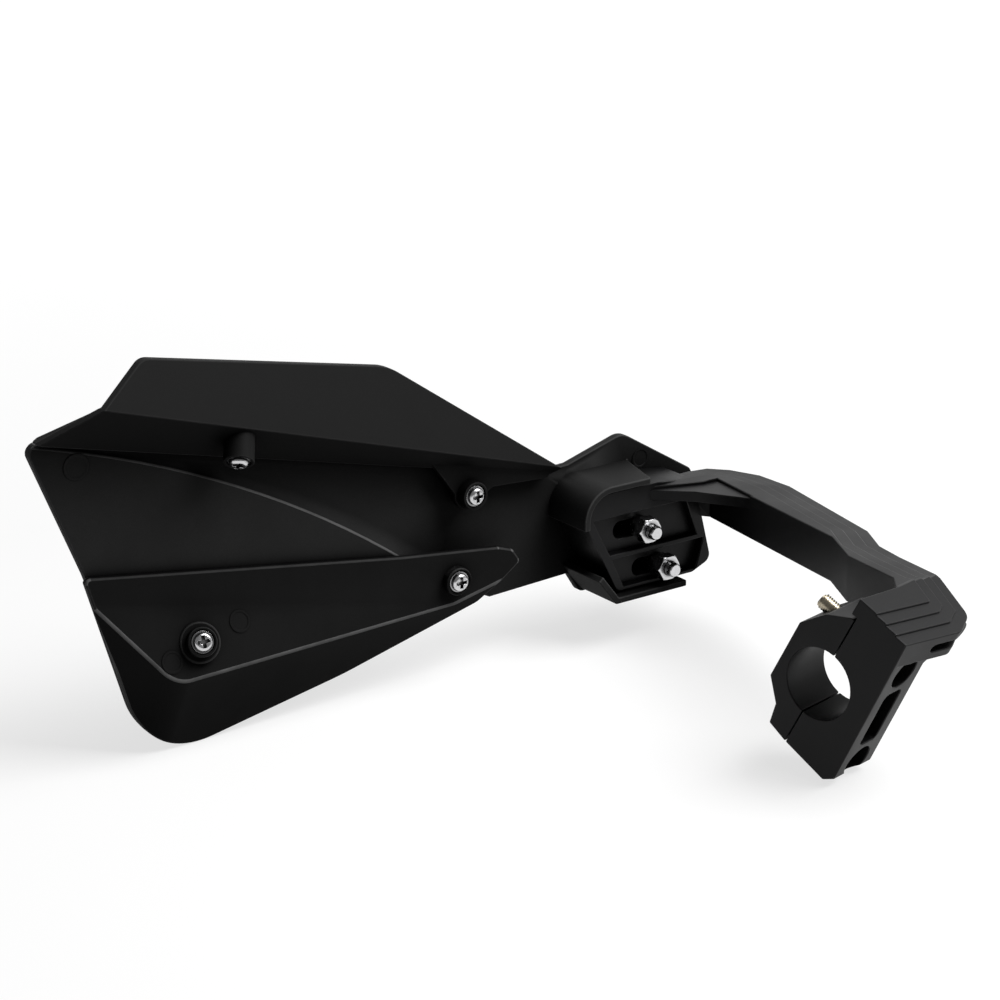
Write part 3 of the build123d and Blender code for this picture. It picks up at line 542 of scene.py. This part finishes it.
# Ejector marks on the faces that the photo shows
WING_FACE = Vector((0.0744, -0.9184, 0.3885))
WING_TURN = WING_FACE.to_track_quat("Z", "Y").to_matrix().to_4x4()
SHELL_MARK = PANEL @ Matrix.Translation((14.7 * MM, 0, 62.5 * MM)) @ FACING_RIDER
BACK_WALL_MARK = GUARD @ Matrix.Translation((-0.9 * MM, 0, 25.5 * MM)) @ FACING_RIDER
WING_MARK_INNER = PANEL @ Matrix.Translation((63 * MM, -4.4 * MM, 6.3 * MM)) @ WING_TURN
WING_MARK_OUTER = PANEL @ Matrix.Translation((38 * MM, -9.09 * MM, 0)) @ WING_TURN
ejector_mark("shell_mark", SHELL_MARK, 4 * MM, SHELL_BLACK)
ejector_mark("back_wall_mark", BACK_WALL_MARK, 3.5 * MM, SHELL_BLACK)
ejector_mark("wing_mark_inner", WING_MARK_INNER, 3.5 * MM, GUARD_BLACK)
ejector_mark("wing_mark_outer", WING_MARK_OUTER, 3.5 * MM, GUARD_BLACK)


# Stage

FLOOR_SIZE = 8.0
FLOOR_TONE = (0.34, 0.34, 0.34, 1)
FLOOR_GLOW = 0.705
FAR_FLOOR_GLOW = 1.0
GLOW_START, GLOW_END = 0.35, 1.3
WORLD_LIGHT = 0.1
ROOM_SHEEN = 0.2
SHEEN_SPREAD = 0.5
KEY_OFFSET = Vector((0.42, -0.5, 0.92))
KEY_SIZE = 0.8
KEY_POWER = 17.0


def seen_directly(nodes):
    """1 for rays from the camera, from mirrors and through glass."""
    path = nodes.add("ShaderNodeLightPath")
    seen = nodes.math("MAXIMUM", path.outputs["Is Camera Ray"], path.outputs["Is Glossy Ray"])
    return nodes.math("MAXIMUM", seen, path.outputs["Is Transmission Ray"])


def make_floor(height):
    bm = bmesh.new()
    level = Matrix.Translation((0, 0, height))
    bmesh.ops.create_grid(bm, x_segments=1, y_segments=1, size=FLOOR_SIZE / 2, matrix=level)
    mesh = bpy.data.meshes.new("floor")
    bm.to_mesh(mesh)
    bm.free()
    made, nodes = material("pale_floor")
    matt = nodes.add("ShaderNodeBsdfDiffuse", {"Color": FLOOR_TONE})
    place = nodes.add("ShaderNodeTexCoord").outputs["Object"]
    away = nodes.add("ShaderNodeVectorMath", {0: place}, operation="LENGTH").outputs["Value"]
    glow_values = {
        "Value": away,
        "From Min": GLOW_START,
        "From Max": GLOW_END,
        "To Min": FLOOR_GLOW,
        "To Max": FAR_FLOOR_GLOW,
    }
    glow = nodes.add("ShaderNodeMapRange", glow_values).outputs["Result"]
    strength = nodes.math("MULTIPLY", seen_directly(nodes), glow)
    glow = nodes.add("ShaderNodeEmission", {"Strength": strength})
    both = nodes.add("ShaderNodeAddShader", {0: matt.outputs[0], 1: glow.outputs[0]})
    nodes.add("ShaderNodeOutputMaterial", {"Surface": both.outputs[0]})
    mesh.materials.append(made)
    floor = bpy.data.objects.new("floor", mesh)
    bpy.context.scene.collection.objects.link(floor)


def make_world():
    """White all round to the camera, and darker behind the camera to what mirrors it."""
    world = bpy.data.worlds.new("studio")
    world.use_nodes = True
    nodes = Nodes(world.node_tree)
    direction = nodes.add("ShaderNodeTexCoord").outputs["Generated"]
    along_view = {0: direction, 1: -TO_CAMERA}
    ahead = nodes.add("ShaderNodeVectorMath", along_view, operation="DOT_PRODUCT")
    sheen_values = {
        "Value": ahead.outputs["Value"],
        "From Min": -SHEEN_SPREAD,
        "From Max": SHEEN_SPREAD,
        "To Min": ROOM_SHEEN,
        "To Max": 1.0,
    }
    sheen = nodes.add("ShaderNodeMapRange", sheen_values).outputs["Result"]
    mirrored = nodes.add("ShaderNodeLightPath").outputs["Is Glossy Ray"]
    shown = nodes.between(mirrored, 1.0, sheen)
    strength = nodes.between(seen_directly(nodes), WORLD_LIGHT, shown)
    back = nodes.add("ShaderNodeBackground", {"Color": (1, 1, 1, 1), "Strength": strength})
    nodes.add("ShaderNodeOutputWorld", {"Surface": back.outputs[0]})
    bpy.context.scene.world = world


def make_lamp(name, place, aim, size, power):
    lamp = bpy.data.lights.new(name, "AREA")
    lamp.shape = "SQUARE"
    lamp.size = size
    lamp.energy = power
    held = bpy.data.objects.new(name, lamp)
    held.location = place
    held.rotation_mode = "QUATERNION"
    held.rotation_quaternion = (aim - place).to_track_quat("-Z", "Y")
    bpy.context.scene.collection.objects.link(held)


def make_camera():
    data = bpy.data.cameras.new("camera")
    data.lens = LENS_MM
    data.sensor_width = SENSOR_MM
    camera = bpy.data.objects.new("camera", data)
    camera.location = CAMERA_PLACE
    camera.rotation_mode = "QUATERNION"
    camera.rotation_quaternion = (-TO_CAMERA).to_track_quat("-Z", "Y")
    bpy.context.scene.collection.objects.link(camera)
    bpy.context.scene.camera = camera


middle = (cad_box[0] + cad_box[1]) / 2
make_floor(cad_box[0].z)
make_world()
make_lamp("key_lamp", middle + KEY_OFFSET, middle, KEY_SIZE, KEY_POWER)
make_camera()
bpy.context.scene.view_settings.view_transform = "Standard"
